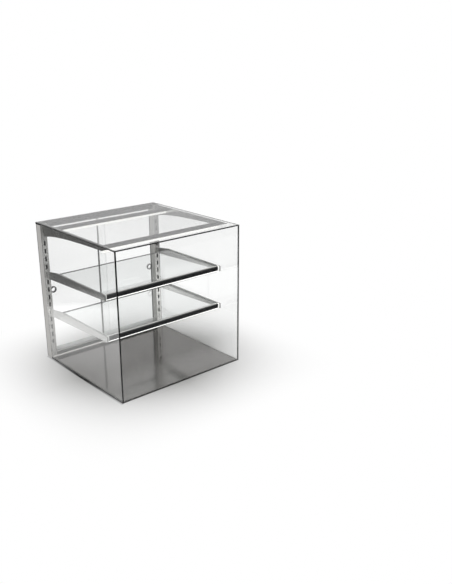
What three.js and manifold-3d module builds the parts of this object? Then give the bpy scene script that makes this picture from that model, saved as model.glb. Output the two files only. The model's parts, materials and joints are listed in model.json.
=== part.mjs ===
// Display case: a counter-top glass case with two lit glass shelves hooked into slotted
// posts, a steel tray as its floor and two sliding glass doors at the back.
// Millimetres, +Z up. The front glass faces -Y, +X is to the right when looking at it,
// and the origin is the middle of the footprint, on the counter.

import * as THREE from 'three';
import { mergeVertices } from 'three/addons/utils/BufferGeometryUtils.js';
import Module from 'manifold-3d';

const wasm = await Module();
wasm.setup();

// Whole case
const caseWidth = 596;
const caseDepth = 591;
const caseHeight = 600;

// Shared clearance between two pieces that meet, and the overrun of every cut
const seatGap = 0.3;
const cutOverrun = 1;

// Glass walls, roof and the seals that they stand on
const paneThickness = 5;
const sealLift = 0.3;
const sealHeight = 1.9;

// Feet
const footHeight = 2.2;
const footRadius = 12;
const footSideInset = 60;
const footFrontInset = 50;

// Floor tray
const traySheet = 1.5;
const traySideMargin = 5;
const trayFrontMargin = 2;
const coveRadius = 6;

// Slotted posts
const postWidth = 30;
const postDepth = 40;
const postWall = 2;
const postCornerRadius = 5;
const slotWidth = 7;
const slotHeight = 19.5;
const slotCornerRadius = 1.2;
const slotPitch = 33.6;
const slotInset = 17;
const topSlotDrop = 85;
const lowestSlotHeight = 70;
const armSlotHeight = 28;
const armSlotDrop = 30;

// Rear sill, a box section between the posts
const sillDepth = 35;
const sillTop = 24;
const sillWall = 2;
const sillCornerRadius = 6;
const sillCornerDepth = 12;

// Header, a folded channel under the rear of the roof
const headerSheet = 2;
const headerSetback = 2;
const headerFrontLip = 18;
const headerRearLip = 20;

// Door tracks
const trackRib = 2;
const trackGroove = 8;
const trackBase = 2;
const lowerTrackHeight = 8;
const upperTrackHeight = 12.4;

// Sliding doors
const doorThickness = 5;
const doorOverlap = 42;
const doorEndGap = 0.5;
const shoeWall = 0.7;
const shoeFloor = 1.5;
const shoeHeight = 9;
const shoeLift = 0.5;
const shoeEndInset = 1;
const doorTopClearance = 4;
const stileWidth = 3.2;
const stileWall = 0.8;
const stileEndGap = 1.5;
const pullInset = 21.5;
const pullHeight = 299;
const pullHoleRadius = 9.5;
const pullBarrelRadius = 11.6;
const pullFlangeRadius = 14;
const pullFlange = 1.5;

// Hooked plates: the roof arms and the shelf brackets
const plateThickness = 4.5;
const hookNeck = 11;
const hookDrop = 5;
const hookReach = 4;
const armHookNeck = 19;

// Roof arms
const armTipSetback = 57;
const armTipHeight = 2.2;
const armNoseSetback = 105;
const armNoseHeight = 17.7;
const armRootLength = 20;
const armRootHeight = 47.7;
const armSweepReach = 111;
const armSweepHeight = 22.7;

// Light bars between the arms
const barDepth = 24;
const barHeight = 10.2;
const barRoofGap = 6.6;
const barEdgeRadius = 3;
const frontBarSetback = 103;
const rearBarPostGap = 62;
const barPocketDepth = 7;
const barPocketHeight = 3;
const barPocketInset = 1;
const barDiffuserDepth = 9;
const barDiffuserHeight = 9;
const barDiffuserRadius = 2.5;

// Light strips
const stripThickness = 1.2;
const stripSideGap = 0.4;

// Shelves: how many slots are left free or used above the one that each shelf hooks into
const upperShelfSlotCount = 4;
const middleShelfSlotCount = 9;
const glassAboveSlot = 21.4;
const shelfThickness = 5;
const shelfPostGap = 88.2;

// Shelf brackets
const bracketRootDrop = 37.5;
const bracketRootLength = 17;
const bracketTipDrop = 18;
const bracketRise = 4;
const bracketRootRise = -8;
const noseSetback = 102;
const ledgeWidth = 12;
const ledgeThickness = 1.5;
const ledgeRearInset = 9;

// Shelf front rail
const railSetback = 105;
const railDepth = 25;
const railLip = 4;
const railLipDepth = 9;
const railTopInset = 4;
const railBellyDrop = 5;
const railCurveDrop = 18;
const railFootInset = 12;
const railDrop = 24.5;
const railCapThickness = 6;
const railPocketDepth = 15;
const railPocketHeight = 5;
const railPocketDrop = 21.5;

// Rear edge profile of a shelf, an angle behind and under the glass
const edgeWall = 1.2;
const edgeSeat = 6;

// Power supply, switch and inlet in the sill
const driverLength = 120;
const driverDepth = 22;
const driverHeight = 13;
const driverScrewSpacing = 96;
const screwRadius = 1.4;
const screwHoleRadius = 1.7;
const screwReach = 5;
const screwHeadRadius = 3.2;
const screwHeadHeight = 1.6;
const driverHoleDepth = 4;
const inletPostGap = 73;
const switchSpacing = 45;
const flangeThickness = 1.5;
const switchFlangeWidth = 21;
const switchFlangeHeight = 15;
const switchBodyWidth = 18.4;
const switchBodyHeight = 13;
const switchBodyDepth = 12;
const rockerRadius = 7.6;
const rockerClearance = 0.4;
const rockerHeight = 9.2;
const rockerPivotDepth = 2.5;
const rockerHornRise = 4;
const rockerValleyRise = 2.8;
const rockerPinRadius = 1.2;
const rockerPinClearance = 0.3;
const rockerPinReach = 1;
const rockerTilt = 8;
const inletFlangeWidth = 27;
const inletFlangeHeight = 15;
const inletBodyWidth = 21;
const inletBodyHeight = 12;
const inletBodyDepth = 14;
const inletRecessWidth = 16;
const inletRecessHeight = 8.4;
const inletRecessDepth = 9;

// Facets of round edges
const cornerSegments = 6;
const slotSegments = 2;
const sweepSegments = 16;
const roundSegments = 24;
const pinSegments = 12;

// Places worked out from the sizes above
const halfWidth = caseWidth / 2;
const front = -caseDepth / 2;
const rear = caseDepth / 2;
const floorLevel = footHeight + seatGap;
const trayTop = floorLevel + traySheet;
const roofSeat = caseHeight - paneThickness - seatGap;
const postFront = rear - postDepth;
const paneRear = postFront - seatGap;
const postTop = roofSeat - headerSheet - seatGap;
const betweenPosts = halfWidth - postWidth;
const sillRear = postFront + sillDepth;
const trackWidth = trackRib * 3 + trackGroove * 2;
const trackRear = sillRear;
const trackFront = trackRear - trackWidth;
const frontDoorLine = trackFront + trackRib + trackGroove / 2;
const rearDoorLine = trackRear - trackRib - trackGroove / 2;
const lowerTrackBottom = sillTop + seatGap;
const lowerTrackTop = lowerTrackBottom + lowerTrackHeight;
const upperTrackTop = postTop;
const upperTrackBottom = upperTrackTop - upperTrackHeight;
const plateOuter = halfWidth - slotInset + plateThickness / 2;
const plateInner = plateOuter - plateThickness;
const betweenPlates = plateInner - seatGap;
const topSlot = caseHeight - topSlotDrop;
const armSlot = caseHeight - armSlotDrop;
const shelfRear = postFront - shelfPostGap;
const sillMiddle = (floorLevel + sillTop) / 2;
const inletPlace = betweenPosts - inletPostGap;
const switchPlace = inletPlace - switchSpacing;

// Finishes
function finish(name, color, roughness, metalness, opacity = 1) {
  const material = new THREE.MeshStandardMaterial({ color, roughness, metalness });
  material.name = name;
  material.flatShading = true;
  material.opacity = opacity;
  material.transparent = opacity < 1;
  return material;
}

const clearGlass = finish('clear_glass', 0xe9f1ef, 0.02, 0, 0.16);
const shelfGlass = finish('shelf_glass', 0xdfe9e6, 0.02, 0, 0.2);
const polishedSteel = finish('polished_steel', 0xc6c3bf, 0.12, 1);
const satinSteel = finish('satin_steel', 0x8f8f8c, 0.3, 1);
const darkSteel = finish('dark_steel', 0x3a3a39, 0.3, 1);
const traySteel = finish('tray_steel', 0x85837f, 0.22, 1);
const bracketSteel = finish('bracket_steel', 0x8a8a87, 0.22, 1);
const blackRail = finish('black_rail', 0x15171a, 0.12, 0);
const capPlastic = finish('cap_plastic', 0xe6e5e2, 0.35, 0);
const diffuserPlastic = finish('diffuser', 0xfafaf6, 0.5, 0);
const stripBoard = finish('light_strip', 0xf3efd9, 0.5, 0);
const trackAluminium = finish('track_aluminium', 0xb4b5b5, 0.35, 1);
const blackSeal = finish('seal', 0x1c1c1b, 0.7, 0);
const footRubber = finish('foot_rubber', 0x151515, 0.85, 0);
const greyPlastic = finish('shoe_plastic', 0x565a5d, 0.4, 0);
const edgeProfile = finish('edge_profile', 0x2a2b2c, 0.35, 0);
const greyStile = finish('stile_plastic', 0x4a4b4b, 0.4, 0);
const clearStile = finish('clear_profile', 0xe3e9e8, 0.15, 0, 0.3);
const blackPlastic = finish('black_plastic', 0x18191a, 0.4, 0);
const driverShell = finish('driver_shell', 0xd9d9d6, 0.5, 0);
const screwSteel = finish('screw_steel', 0xbdbdbb, 0.25, 1);

// Solids and booleans
function solid(geometry) {
  const bare = geometry.clone();
  bare.deleteAttribute('normal');
  bare.deleteAttribute('uv');
  const merged = mergeVertices(bare);
  const vertProperties = new Float32Array(merged.attributes.position.array);
  const triVerts = new Uint32Array(merged.index.array);
  return new wasm.Manifold(new wasm.Mesh({ numProp: 3, vertProperties, triVerts }));
}

function join(first, ...others) {
  return others.reduce((sum, other) => sum.add(other), first);
}

function cut(body, ...tools) {
  return tools.reduce((rest, tool) => rest.subtract(tool), body);
}

function meshGeometry(body) {
  const mesh = body.getMesh();
  const geometry = new THREE.BufferGeometry();
  geometry.setAttribute('position', new THREE.BufferAttribute(mesh.vertProperties, 3));
  geometry.setIndex(new THREE.BufferAttribute(mesh.triVerts, 1));
  geometry.computeVertexNormals();
  return geometry;
}

// A box from its lowest to its highest place along each axis
function slab([x0, x1], [y0, y1], [z0, z1]) {
  const box = new THREE.BoxGeometry(x1 - x0, y1 - y0, z1 - z0);
  box.translate((x0 + x1) / 2, (y0 + y1) / 2, (z0 + z1) / 2);
  return solid(box);
}

// The span of a width about its middle
function around(middle, width) {
  return [middle - width / 2, middle + width / 2];
}

function outline(points) {
  return new THREE.Shape(points.map(([u, v]) => new THREE.Vector2(u, v)));
}

function extruded(shape, length, segments) {
  return new THREE.ExtrudeGeometry(shape, {
    depth: length,
    bevelEnabled: false,
    curveSegments: segments,
  });
}

// An outline in Y and Z, pushed along X
function alongX(shape, x0, x1, segments = cornerSegments) {
  const geometry = extruded(shape, x1 - x0, segments);
  geometry.applyMatrix4(new THREE.Matrix4().makeBasis(
    new THREE.Vector3(0, 1, 0),
    new THREE.Vector3(0, 0, 1),
    new THREE.Vector3(1, 0, 0),
  ));
  geometry.translate(x0, 0, 0);
  return solid(geometry);
}

// An outline in X and Z, pushed along Y
function alongY(shape, y0, y1, segments = cornerSegments) {
  const geometry = extruded(shape, y1 - y0, segments);
  geometry.applyMatrix4(new THREE.Matrix4().makeBasis(
    new THREE.Vector3(1, 0, 0),
    new THREE.Vector3(0, 0, 1),
    new THREE.Vector3(0, -1, 0),
  ));
  geometry.translate(0, y1, 0);
  return solid(geometry);
}

// An outline in X and Y, pushed up along Z
function alongZ(shape, z0, z1, segments = cornerSegments) {
  const geometry = extruded(shape, z1 - z0, segments);
  geometry.translate(0, 0, z0);
  return solid(geometry);
}

// A round pin along Y or Z
function pinAlongY(radius, x, z, y0, y1, segments = pinSegments) {
  const geometry = new THREE.CylinderGeometry(radius, radius, y1 - y0, segments);
  geometry.translate(x, (y0 + y1) / 2, z);
  return solid(geometry);
}

function pinAlongZ(radius, x, y, z0, z1, segments = pinSegments) {
  const geometry = new THREE.CylinderGeometry(radius, radius, z1 - z0, segments);
  geometry.rotateX(Math.PI / 2);
  geometry.translate(x, y, (z0 + z1) / 2);
  return solid(geometry);
}

// Left is -1 and right is 1. A right-hand piece is the left-hand one mirrored.
const sides = [['left', -1], ['right', 1]];

function mirrored(body, side) {
  return side < 0 ? body : body.mirror([1, 0, 0]);
}

const displayCase = new THREE.Group();
displayCase.name = 'display_case';

function addPiece(name, body, material) {
  const mesh = new THREE.Mesh(meshGeometry(body), material);
  mesh.name = name;
  displayCase.add(mesh);
}

// Glass walls, roof and bottom seals. The side panes run past the front pane and the
// roof, which reaches over the posts behind them.
function addGlass() {
  const wallHeight = [floorLevel, caseHeight];
  const sealSpan = [sealLift, sealLift + sealHeight];
  const frontSpan = [front, front + paneThickness];
  const sideSpan = [front, paneRear];
  const acrossLeft = [-halfWidth, -halfWidth + paneThickness];
  const reach = halfWidth - paneThickness - seatGap;
  const roofSpan = [roofSeat + seatGap, caseHeight];
  const roof = join(
    slab([-reach, reach], [front + paneThickness + seatGap, rear], roofSpan),
    slab([-halfWidth, halfWidth], [postFront, rear], roofSpan),
  );
  addPiece('glass_roof', roof, clearGlass);
  addPiece('glass_front', slab([-reach, reach], frontSpan, wallHeight), clearGlass);
  addPiece('seal_front', slab([-reach, reach], frontSpan, sealSpan), blackSeal);
  for (const [name, side] of sides) {
    addPiece(`glass_${name}`, mirrored(slab(acrossLeft, sideSpan, wallHeight), side), clearGlass);
    addPiece(`seal_${name}`, mirrored(slab(acrossLeft, sideSpan, sealSpan), side), blackSeal);
  }
}

// Feet under the front corners of the tray and under the sill
function addFeet() {
  const places = [
    ['front', front + footFrontInset],
    ['rear', (postFront + sillRear) / 2],
  ];
  for (const [place, y] of places) {
    for (const [name, side] of sides) {
      const x = side * (halfWidth - footSideInset);
      const foot = pinAlongZ(footRadius, x, y, 0, footHeight, roundSegments);
      addPiece(`foot_${place}_${name}`, foot, footRubber);
    }
  }
}

// Floor tray: a flat sheet whose rear edge is rolled up in a cove
function addTray() {
  const trayFront = front + paneThickness + trayFrontMargin;
  const coveStart = postFront - seatGap - traySheet - coveRadius;
  const coveTop = trayTop + coveRadius;
  const section = new THREE.Shape();
  section.moveTo(trayFront, floorLevel);
  section.lineTo(coveStart, floorLevel);
  section.absarc(coveStart, coveTop, coveRadius + traySheet, -Math.PI / 2, 0, false);
  section.lineTo(coveStart + coveRadius, coveTop);
  section.absarc(coveStart, coveTop, coveRadius, 0, -Math.PI / 2, true);
  section.lineTo(trayFront, trayTop);
  section.closePath();
  const reach = halfWidth - paneThickness - traySideMargin;
  addPiece('base_tray', alongX(section, -reach, reach), traySteel);
}

// An upright outline with rounded corners
function roundedOutline([u0, u1], [v0, v1], radius) {
  const shape = new THREE.Shape();
  shape.moveTo(u1, v0 + radius);
  shape.absarc(u1 - radius, v1 - radius, radius, 0, Math.PI / 2, false);
  shape.absarc(u0 + radius, v1 - radius, radius, Math.PI / 2, Math.PI, false);
  shape.absarc(u0 + radius, v0 + radius, radius, Math.PI, Math.PI * 1.5, false);
  shape.absarc(u1 - radius, v0 + radius, radius, -Math.PI / 2, 0, false);
  return shape;
}

// One slot, cut through the front wall of a post
function slotCutter(x, z, height) {
  const shape = roundedOutline(around(x, slotWidth), around(z, height), slotCornerRadius);
  return alongY(shape, postFront - cutOverrun, postFront + postWall + cutOverrun, slotSegments);
}

// Post section: a box whose outer rear corner is rounded
function postSection(inset) {
  const outer = -halfWidth + inset;
  const inner = -betweenPosts - inset;
  const back = rear - inset;
  const face = postFront + inset;
  const radius = postCornerRadius - inset;
  const shape = new THREE.Shape();
  shape.moveTo(outer, face);
  shape.lineTo(inner, face);
  shape.lineTo(inner, back);
  shape.lineTo(outer + radius, back);
  shape.absarc(outer + radius, back - radius, radius, Math.PI / 2, Math.PI, false);
  shape.closePath();
  return shape;
}

function addPosts() {
  const slotX = -halfWidth + slotInset;
  const tube = alongZ(postSection(0), floorLevel, postTop);
  const bore = alongZ(postSection(postWall), floorLevel - cutOverrun, postTop + cutOverrun);
  const slots = [slotCutter(slotX, armSlot, armSlotHeight)];
  for (let z = topSlot; z > lowestSlotHeight; z -= slotPitch) {
    slots.push(slotCutter(slotX, z, slotHeight));
  }
  const post = cut(tube, bore, ...slots);
  for (const [name, side] of sides) {
    addPiece(`post_${name}`, mirrored(post, side), polishedSteel);
  }
}

// Rear sill: a box section with filleted front corners and cut-outs for its fittings
function addSill() {
  const end = betweenPosts - seatGap;
  const shell = slab([-end, end], [postFront, sillRear], [floorLevel, sillTop]);
  const bore = slab(
    [-end - cutOverrun, end + cutOverrun],
    [postFront + sillWall, sillRear - sillWall],
    [floorLevel + sillWall, sillTop - sillWall],
  );
  const corner = new THREE.Shape();
  corner.moveTo(-end, sillTop - sillWall / 2);
  corner.lineTo(-end + sillCornerRadius, sillTop - sillWall / 2);
  corner.lineTo(-end + sillCornerRadius, sillTop);
  corner.absarc(-end + sillCornerRadius, sillTop + sillCornerRadius, sillCornerRadius,
    -Math.PI / 2, -Math.PI, true);
  corner.closePath();
  const cornerFillet = alongY(corner, postFront, postFront + sillCornerDepth);
  const rearWall = [sillRear - sillWall - cutOverrun, sillRear + cutOverrun];
  const cutouts = [
    slab(around(switchPlace, switchBodyWidth + seatGap * 2), rearWall,
      around(sillMiddle, switchBodyHeight + seatGap * 2)),
    slab(around(inletPlace, inletBodyWidth + seatGap * 2), rearWall,
      around(sillMiddle, inletBodyHeight + seatGap * 2)),
  ];
  for (const [, side] of sides) {
    const x = side * driverScrewSpacing / 2;
    cutouts.push(pinAlongY(screwHoleRadius, x, sillMiddle, ...rearWall));
  }
  const sill = join(cut(shell, bore), cornerFillet, mirrored(cornerFillet, 1));
  addPiece('rear_sill', cut(sill, ...cutouts), satinSteel);
}

// Header: a plate over the posts with a lip in front and behind, between the posts
function addHeader() {
  const headerFront = postFront + headerSetback;
  const end = betweenPosts - seatGap;
  const lipTop = roofSeat - headerSheet / 2;
  const plate = slab([-halfWidth, halfWidth], [headerFront, rear], [roofSeat - headerSheet, roofSeat]);
  const frontLip = slab([-end, end], [headerFront, headerFront + headerSheet],
    [roofSeat - headerFrontLip, lipTop]);
  const rearLip = slab([-end, end], [rear - headerSheet, rear], [roofSeat - headerRearLip, lipTop]);
  addPiece('header', join(plate, frontLip, rearLip), darkSteel);
}

// Door tracks: a base with three ribs and two grooves, upright on the sill and
// upside down under the header
function trackSection(base, tip) {
  const step = Math.sign(tip - base);
  const points = [[trackFront, base], [trackRear, base], [trackRear, tip]];
  let y = trackRear;
  for (let groove = 0; groove < 2; groove += 1) {
    y -= trackRib;
    points.push([y, tip], [y, base + step * trackBase]);
    y -= trackGroove;
    points.push([y, base + step * trackBase], [y, tip]);
  }
  points.push([trackFront, tip]);
  return outline(points);
}

function addTracks() {
  const end = betweenPosts - seatGap;
  const lower = trackSection(lowerTrackBottom, lowerTrackTop);
  const upper = trackSection(upperTrackTop, upperTrackBottom);
  addPiece('door_track_lower', alongX(lower, -end, end), trackAluminium);
  addPiece('door_track_upper', alongX(upper, -end, end), trackAluminium);
}

// A profile of U shape: a slab with a groove for the pane that it holds
function pulledOver(xSpan, ySpan, zSpan, grooveX, grooveY, grooveZ) {
  return cut(slab(xSpan, ySpan, zSpan), slab(grooveX, grooveY, grooveZ));
}

// Ring of a finger pull: a barrel through the pane with a flange on each face
function pullRing(x, line) {
  const half = doorThickness / 2 + seatGap + pullFlange;
  const neck = half - pullFlange;
  const profile = [
    [pullHoleRadius, -half],
    [pullFlangeRadius, -half],
    [pullFlangeRadius, -neck],
    [pullBarrelRadius, -neck],
    [pullBarrelRadius, neck],
    [pullFlangeRadius, neck],
    [pullFlangeRadius, half],
    [pullHoleRadius, half],
    [pullHoleRadius, -half],
  ];
  const geometry = new THREE.LatheGeometry(
    profile.map(([r, h]) => new THREE.Vector2(r, h)),
    roundSegments,
  );
  geometry.translate(x, line, pullHeight);
  return solid(geometry);
}

// One sliding door: pane, finger pull, shoe in the lower track and meeting stile
function addDoor(name, side, line, stileFinish) {
  const outer = betweenPosts - doorEndGap;
  const inner = -doorOverlap / 2;
  const shoeBottom = lowerTrackBottom + trackBase + shoeLift;
  const paneBottom = shoeBottom + shoeFloor + seatGap;
  const paneTop = upperTrackTop - trackBase - doorTopClearance;
  const paneSpan = around(line, doorThickness);
  const fitSpan = around(line, doorThickness + seatGap * 2);
  const shoeSpan = around(line, doorThickness + (seatGap + shoeWall) * 2);
  const stileSpan = around(line, doorThickness + (seatGap + stileWall) * 2);
  const pullX = -outer + pullInset;
  const pane = cut(
    slab([-outer, -inner], paneSpan, [paneBottom, paneTop]),
    pinAlongY(pullBarrelRadius + seatGap, pullX, pullHeight,
      paneSpan[0] - cutOverrun, paneSpan[1] + cutOverrun, roundSegments),
  );
  const shoe = pulledOver(
    [-outer + shoeEndInset, -inner - shoeEndInset], shoeSpan, [shoeBottom, shoeBottom + shoeHeight],
    [-outer, -inner], fitSpan, [shoeBottom + shoeFloor, shoeBottom + shoeHeight + cutOverrun],
  );
  const stileBottom = Math.max(lowerTrackTop, shoeBottom + shoeHeight) + stileEndGap;
  const stileTop = upperTrackBottom - stileEndGap;
  const stile = pulledOver(
    [-inner - stileWidth, -inner + seatGap + stileWall], stileSpan, [stileBottom, stileTop],
    [-inner - stileWidth - cutOverrun, -inner + seatGap], fitSpan,
    [stileBottom - cutOverrun, stileTop + cutOverrun],
  );
  addPiece(`door_${name}_glass`, mirrored(pane, side), clearGlass);
  addPiece(`door_${name}_pull`, mirrored(pullRing(pullX, line), side), polishedSteel);
  addPiece(`door_${name}_shoe`, mirrored(shoe, side), greyPlastic);
  addPiece(`door_${name}_stile`, mirrored(stile, side), stileFinish);
}

// Outline of a hook that reaches through a post's front wall and drops behind it,
// from the top of its neck down to the underside
function hookOutline(slotBottom, neckHeight) {
  const neckBottom = slotBottom + seatGap;
  const wallBack = postFront + postWall + seatGap;
  return [
    [paneRear, neckBottom],
    [wallBack, neckBottom],
    [wallBack, neckBottom - hookDrop],
    [wallBack + hookReach, neckBottom - hookDrop],
    [wallBack + hookReach, neckBottom + neckHeight],
    [paneRear, neckBottom + neckHeight],
  ];
}

// Roof arms: plates that sweep up from the posts to a thin tip near the front glass
function addArms() {
  const shape = new THREE.Shape();
  const rootFront = postFront - armRootLength;
  shape.moveTo(front + armTipSetback, roofSeat);
  shape.lineTo(front + armTipSetback, roofSeat - armTipHeight);
  shape.lineTo(front + armNoseSetback, roofSeat - armNoseHeight);
  shape.quadraticCurveTo(
    postFront - armSweepReach, roofSeat - armSweepHeight,
    rootFront, roofSeat - armRootHeight,
  );
  shape.lineTo(paneRear, roofSeat - armRootHeight);
  for (const [y, z] of hookOutline(armSlot - armSlotHeight / 2, armHookNeck)) {
    shape.lineTo(y, z);
  }
  shape.lineTo(paneRear, roofSeat);
  shape.closePath();
  const arm = alongX(shape, -plateOuter, -plateInner, sweepSegments);
  for (const [name, side] of sides) {
    addPiece(`roof_arm_${name}`, mirrored(arm, side), bracketSteel);
  }
}

// A light strip board in a pocket, and the diffuser that closes it
function stripIn(pocketY, pocketTop, reach) {
  return slab(
    [-reach, reach],
    [pocketY[0] + stripSideGap, pocketY[1] - stripSideGap],
    [pocketTop - seatGap - stripThickness, pocketTop - seatGap],
  );
}

function diffuserSection(ySpan, bottom, top, radius) {
  const shape = new THREE.Shape();
  shape.moveTo(ySpan[0], top);
  shape.lineTo(ySpan[0], bottom + radius);
  shape.absarc(ySpan[0] + radius, bottom + radius, radius, Math.PI, Math.PI * 1.5, false);
  shape.lineTo(ySpan[1] - radius, bottom);
  shape.absarc(ySpan[1] - radius, bottom + radius, radius, -Math.PI / 2, 0, false);
  shape.lineTo(ySpan[1], top);
  shape.closePath();
  return shape;
}

// Light bar: an aluminium section whose diffuser hangs from its lower front edge
function addLightBar(name, barFront) {
  const barRear = barFront + barDepth;
  const barTop = roofSeat - barRoofGap;
  const barBottom = barTop - barHeight;
  const pocketFront = barFront + barPocketInset;
  const pocketY = [pocketFront, pocketFront + barPocketDepth];
  const section = new THREE.Shape();
  section.moveTo(barFront, barBottom);
  section.lineTo(barRear, barBottom);
  section.lineTo(barRear, barTop - barEdgeRadius);
  const edgeCentre = barTop - barEdgeRadius;
  section.absarc(barRear - barEdgeRadius, edgeCentre, barEdgeRadius, 0, Math.PI / 2, false);
  section.lineTo(barFront + barEdgeRadius, barTop);
  section.absarc(barFront + barEdgeRadius, edgeCentre, barEdgeRadius, Math.PI / 2, Math.PI, false);
  section.closePath();
  const pocket = slab(
    [-betweenPlates - cutOverrun, betweenPlates + cutOverrun],
    pocketY,
    [barBottom - cutOverrun, barBottom + barPocketHeight],
  );
  const body = cut(alongX(section, -betweenPlates, betweenPlates), pocket);
  const strip = stripIn(pocketY, barBottom + barPocketHeight, betweenPlates);
  const diffuserTop = barBottom - seatGap;
  const diffuserY = [barFront, barFront + barDiffuserDepth];
  const diffuserBottom = diffuserTop - barDiffuserHeight;
  const diffuser = alongX(
    diffuserSection(diffuserY, diffuserBottom, diffuserTop, barDiffuserRadius),
    -betweenPlates, betweenPlates,
  );
  addPiece(`${name}_housing`, body, darkSteel);
  addPiece(`${name}_strip`, strip, stripBoard);
  addPiece(`${name}_diffuser`, diffuser, diffuserPlastic);
}

// Shelf bracket: a hooked plate that tapers to its nose, and a ledge under the glass
function shelfBracket(glassTop, slotZ) {
  const noseFront = front + noseSetback;
  const topEdge = glassTop + bracketRise;
  const points = [
    [noseFront, glassTop - bracketTipDrop],
    [postFront - bracketRootLength, glassTop - bracketRootDrop],
    [paneRear, glassTop - bracketRootDrop],
    ...hookOutline(slotZ - slotHeight / 2, hookNeck),
    [paneRear, glassTop + bracketRootRise],
    [shelfRear, topEdge],
    [noseFront, topEdge],
  ];
  const plate = alongX(outline(points), -plateOuter, -plateInner);
  const ledgeTop = glassTop - shelfThickness - seatGap;
  const ledge = slab(
    [-plateInner - plateThickness / 2, -plateInner + ledgeWidth],
    [front + railSetback + railDepth + seatGap, shelfRear - ledgeRearInset],
    [ledgeTop - ledgeThickness, ledgeTop],
  );
  return join(plate, ledge);
}

// Section of the front rail: a convex face, a lip before the glass and a seat under it
function railSection(glassTop) {
  const y = (inset) => front + railSetback + inset;
  const z = (drop) => glassTop - drop;
  const seatDrop = shelfThickness + seatGap;
  const shape = new THREE.Shape();
  shape.moveTo(y(railLipDepth), z(-railLip));
  shape.lineTo(y(railTopInset), z(-railLip));
  shape.quadraticCurveTo(y(0), z(-railLip), y(0), z(railBellyDrop));
  shape.quadraticCurveTo(y(0), z(railCurveDrop), y(railFootInset), z(railDrop));
  shape.lineTo(y(railDepth), z(railDrop));
  shape.lineTo(y(railDepth), z(seatDrop));
  shape.lineTo(y(railLipDepth), z(seatDrop));
  shape.closePath();
  return shape;
}

// One shelf with its brackets, glass, lit front rail and rear edge profile
function addShelf(name, slotsAbove) {
  const slotZ = topSlot - slotsAbove * slotPitch;
  const glassTop = slotZ + glassAboveSlot;
  const glassBottom = glassTop - shelfThickness;
  const glassFront = front + railSetback + railLipDepth + seatGap;
  const glass = slab([-betweenPlates, betweenPlates], [glassFront, shelfRear], [glassBottom, glassTop]);
  const bracket = shelfBracket(glassTop, slotZ);

  const railEnd = betweenPlates - railCapThickness - seatGap;
  const railFront = front + railSetback;
  const pocketRear = railFront + railPocketDepth;
  const pocketZ = [glassTop - railPocketDrop, glassTop - railPocketDrop + railPocketHeight];
  const railSpan = [-railEnd - cutOverrun, railEnd + cutOverrun];
  const railBody = alongX(railSection(glassTop), -railEnd, railEnd);
  const rail = cut(railBody, slab(railSpan, [railFront - cutOverrun, pocketRear], pocketZ));
  const cap = alongX(railSection(glassTop), -betweenPlates, -betweenPlates + railCapThickness);
  const stripRear = pocketRear - seatGap;
  const stripFront = stripRear - stripThickness;
  const fitZ = [pocketZ[0] + seatGap, pocketZ[1] - seatGap];
  const strip = slab([-railEnd, railEnd], [stripFront, stripRear], fitZ);
  const diffuser = railBody.intersect(
    slab(railSpan, [railFront - cutOverrun, stripFront - seatGap], fitZ),
  );

  const edgeBottom = glassBottom - seatGap - edgeWall;
  const edge = alongX(outline([
    [shelfRear - edgeSeat, edgeBottom],
    [shelfRear + seatGap + edgeWall, edgeBottom],
    [shelfRear + seatGap + edgeWall, glassTop],
    [shelfRear + seatGap, glassTop],
    [shelfRear + seatGap, glassBottom - seatGap],
    [shelfRear - edgeSeat, glassBottom - seatGap],
  ]), -betweenPlates, betweenPlates);

  addPiece(`${name}_glass`, glass, shelfGlass);
  addPiece(`${name}_rail`, rail, blackRail);
  addPiece(`${name}_strip`, strip, stripBoard);
  addPiece(`${name}_diffuser`, diffuser, diffuserPlastic);
  addPiece(`${name}_rear_edge`, edge, edgeProfile);
  for (const [place, side] of sides) {
    addPiece(`${name}_bracket_${place}`, mirrored(bracket, side), bracketSteel);
    addPiece(`${name}_rail_cap_${place}`, mirrored(cap, side), capPlastic);
  }
}

// Power supply in the sill, held by two screws through its rear wall
function addDriver() {
  const driverRear = sillRear - sillWall - seatGap;
  let driver = slab(around(0, driverLength), [driverRear - driverDepth, driverRear],
    around(sillMiddle, driverHeight));
  for (const [name, side] of sides) {
    const x = side * driverScrewSpacing / 2;
    const hole = pinAlongY(screwHoleRadius, x, sillMiddle,
      driverRear - driverHoleDepth, driverRear + cutOverrun);
    driver = cut(driver, hole);
    const headFront = sillRear + seatGap;
    const shank = pinAlongY(screwRadius, x, sillMiddle,
      headFront - screwReach, headFront + screwHeadHeight / 2);
    const head = pinAlongY(screwHeadRadius, x, sillMiddle, headFront, headFront + screwHeadHeight);
    addPiece(`driver_screw_${name}`, join(head, shank), screwSteel);
  }
  addPiece('light_driver', driver, driverShell);
}

// Body of a fitting in the sill's rear wall: a flange outside and a block inside
function fittingBody(x, flangeWidth, flangeHeight, bodyWidth, bodyHeight, bodyDepth) {
  const face = sillRear + seatGap + flangeThickness;
  const flange = slab(around(x, flangeWidth), [sillRear + seatGap, face], around(sillMiddle, flangeHeight));
  const block = slab(around(x, bodyWidth), [face - bodyDepth, face - flangeThickness / 2],
    around(sillMiddle, bodyHeight));
  return join(flange, block);
}

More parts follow.
